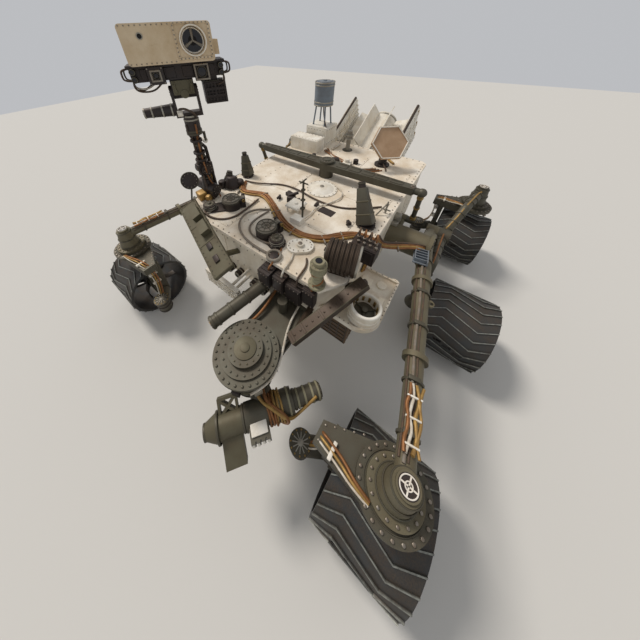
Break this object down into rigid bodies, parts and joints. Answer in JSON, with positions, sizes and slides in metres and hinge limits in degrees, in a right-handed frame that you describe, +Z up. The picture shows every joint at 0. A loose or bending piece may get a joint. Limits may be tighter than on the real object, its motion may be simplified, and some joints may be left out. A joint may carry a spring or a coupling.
{
  "type": "planetary rover",
  "caption": "Wheeled exploration rover with rocker-bogie suspension, steered corner wheels, camera mast, tilting hexagonal antenna, finned power source and arm shoulder.",
  "frame": {"origin": "on the ground under the middle of the rover's outer box", "axes": "+X forward, +Y to the rover's left, +Z up"},
  "size_m": [3.0502, 2.84, 2.1047],
  "materials": {
    "white_paint": "satin white thermal paint with dust",
    "grey_titanium": "dull olive grey with dust",
    "black_aluminium": "black anodised, worn",
    "dark_fittings": "dark grey fittings",
    "power_grey": "light grey enamel",
    "antenna_blue": "grey blue",
    "antenna_tan": "tan face paint",
    "head_beige": "warm beige thermal paint"
  },
  "bodies": {
    "rover_body": {"hull": "white_paint", "deck_panel": "white_paint", "belly_pan": "white_paint", "rocker_left": "grey_titanium", "rocker_right": "grey_titanium", "bogie_left": "grey_titanium", "bogie_right": "grey_titanium", "differential_bar": "dark_fittings", "power_source": "power_grey", "heat_plates": "white_paint", "power_source_carrier": "dark_fittings", "mast": "dark_fittings", "antenna_post": "dark_fittings", "helix_antenna": "antenna_blue", "low_gain_antenna": "power_grey", "deck_boxes": "white_paint", "inlet_bases": "dark_fittings", "stowage_posts": "dark_fittings", "ribbed_canister": "dark_fittings", "sensor_column": "grey_titanium", "bit_box": "white_paint", "front_radiator": "white_paint", "stowage_panel": "grey_titanium", "arm_restraint": "dark_fittings", "front_brace": "dark_fittings", "hazard_cameras": "dark_fittings", "shoulder_bracket": "grey_titanium", "front_boxes": "dark_fittings"},
    "wheel_front_left": {"wheel_front_left": "black_aluminium"},
    "yoke_front_left": {"steering_yoke_front_left": "grey_titanium"},
    "wheel_front_right": {"wheel_front_right": "black_aluminium"},
    "yoke_front_right": {"steering_yoke_front_right": "grey_titanium"},
    "wheel_middle_left": {"wheel_middle_left": "black_aluminium"},
    "wheel_middle_right": {"wheel_middle_right": "black_aluminium"},
    "wheel_rear_left": {"wheel_rear_left": "black_aluminium"},
    "yoke_rear_left": {"steering_yoke_rear_left": "grey_titanium"},
    "wheel_rear_right": {"wheel_rear_right": "black_aluminium"},
    "yoke_rear_right": {"steering_yoke_rear_right": "grey_titanium"},
    "mast_pan": {"mast_pan_drive": "dark_fittings"},
    "mast_head": {"mast_tilt_bar": "dark_fittings", "mast_cameras": "dark_fittings", "mast_head_box": "head_beige"},
    "antenna_turntable": {"antenna_yoke": "dark_fittings"},
    "antenna_dish": {"antenna_panel": "antenna_tan"},
    "shoulder_turret": {"shoulder_drive": "grey_titanium"},
    "arm_link": {"arm_link_root": "grey_titanium"},
    "inlet_lid_front": {"inlet_lid_front": "dark_fittings"},
    "inlet_lid_rear": {"inlet_lid_rear": "dark_fittings"}
  },
  "joints": [
    {"name": "steer_front_left", "type": "hinge", "parent": "rover_body", "child": "yoke_front_left", "pos_m": [1.13, 1.08, 0.668], "axis": [0, 0, 1], "range_deg": [-95, 95]},
    {"name": "spin_front_left", "type": "hinge", "parent": "yoke_front_left", "child": "wheel_front_left", "pos_m": [1.13, 1.08, 0.262], "axis": [0, 1, 0], "continuous": true},
    {"name": "steer_front_right", "type": "hinge", "parent": "rover_body", "child": "yoke_front_right", "pos_m": [1.13, -1.08, 0.668], "axis": [0, 0, 1], "range_deg": [-95, 95]},
    {"name": "spin_front_right", "type": "hinge", "parent": "yoke_front_right", "child": "wheel_front_right", "pos_m": [1.13, -1.08, 0.262], "axis": [0, 1, 0], "continuous": true},
    {"name": "spin_middle_left", "type": "hinge", "parent": "rover_body", "child": "wheel_middle_left", "pos_m": [-0.07, 1.22, 0.262], "axis": [0, 1, 0], "continuous": true},
    {"name": "spin_middle_right", "type": "hinge", "parent": "rover_body", "child": "wheel_middle_right", "pos_m": [-0.07, -1.22, 0.262], "axis": [0, 1, 0], "continuous": true},
    {"name": "steer_rear_left", "type": "hinge", "parent": "rover_body", "child": "yoke_rear_left", "pos_m": [-1.17, 1.08, 0.668], "axis": [0, 0, 1], "range_deg": [-95, 95]},
    {"name": "spin_rear_left", "type": "hinge", "parent": "yoke_rear_left", "child": "wheel_rear_left", "pos_m": [-1.17, 1.08, 0.262], "axis": [0, 1, 0], "continuous": true},
    {"name": "steer_rear_right", "type": "hinge", "parent": "rover_body", "child": "yoke_rear_right", "pos_m": [-1.17, -1.08, 0.668], "axis": [0, 0, 1], "range_deg": [-95, 95]},
    {"name": "spin_rear_right", "type": "hinge", "parent": "yoke_rear_right", "child": "wheel_rear_right", "pos_m": [-1.17, -1.08, 0.262], "axis": [0, 1, 0], "continuous": true},
    {"name": "mast_pan", "type": "hinge", "parent": "rover_body", "child": "mast_pan", "pos_m": [0.6, -0.545, 1.65], "axis": [0, 0, 1], "range_deg": [-240, 120]},
    {"name": "mast_tilt", "type": "hinge", "parent": "mast_pan", "child": "mast_head", "pos_m": [0.6, -0.545, 1.81], "axis": [-0.866, 0.5, 0], "range_deg": [-91, 87]},
    {"name": "antenna_turn", "type": "hinge", "parent": "rover_body", "child": "antenna_turntable", "pos_m": [-0.58, 0.3, 1.18], "axis": [0, 0, 1], "range_deg": [-170, 170]},
    {"name": "antenna_tilt", "type": "hinge", "parent": "antenna_turntable", "child": "antenna_dish", "pos_m": [-0.58, 0.3, 1.28], "axis": [-0.6428, 0.766, 0], "range_deg": [-52, 38]},
    {"name": "shoulder_turn", "type": "hinge", "parent": "rover_body", "child": "shoulder_turret", "pos_m": [1.165, 0.345, 0.7], "axis": [0, 0, 1], "range_deg": [-160, 160]},
    {"name": "shoulder_lift", "type": "hinge", "parent": "shoulder_turret", "child": "arm_link", "pos_m": [1.27169, 0.49736, 0.59], "axis": [-0.8192, 0.5736, 0], "range_deg": [-100, 50]},
    {"name": "lid_front", "type": "hinge", "parent": "rover_body", "child": "inlet_lid_front", "pos_m": [0.59095, 0.09805, 1.164], "axis": [-0.342, -0.9397, 0], "range_deg": [0, 170]},
    {"name": "lid_rear", "type": "hinge", "parent": "rover_body", "child": "inlet_lid_rear", "pos_m": [0.53811, -0.2562, 1.164], "axis": [-0.6561, -0.7547, 0], "range_deg": [0, 170]}
  ]
}
